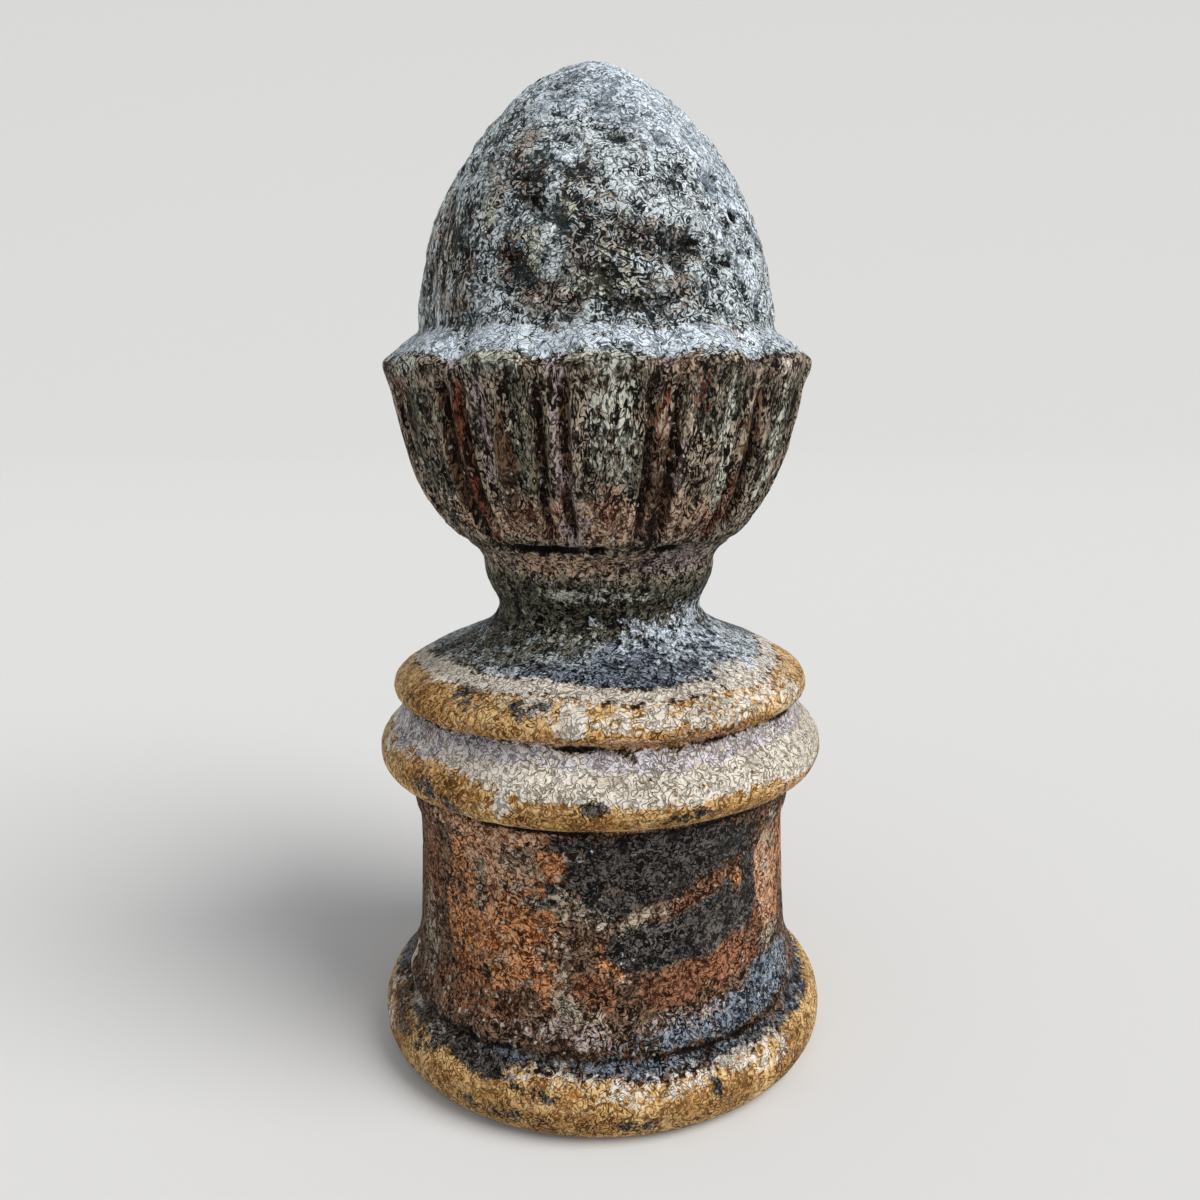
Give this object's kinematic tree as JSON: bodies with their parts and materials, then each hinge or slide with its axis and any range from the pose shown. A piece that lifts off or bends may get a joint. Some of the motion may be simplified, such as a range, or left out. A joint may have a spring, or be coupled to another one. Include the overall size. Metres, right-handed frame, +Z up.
{
  "type": "acorn finial",
  "caption": "Weathered moulded finial: an acorn in a leafy cup on a round pedestal with rolls, standing on its flat underside.",
  "frame": {"origin": "middle of the flat underside, on the surface that the finial stands on", "axes": "+Z up through the acorn's tip, the pictured front towards -Y, +X to the viewer's right"},
  "size_m": [0.2005, 0.2014, 0.4185],
  "materials": {
    "weathered_terracotta": "old flaking paint over terracotta: grey-green acorn and cup, ochre rolls, orange and black drum"
  },
  "bodies": {
    "root": {"acorn_finial": "weathered_terracotta"}
  },
  "joints": []
}
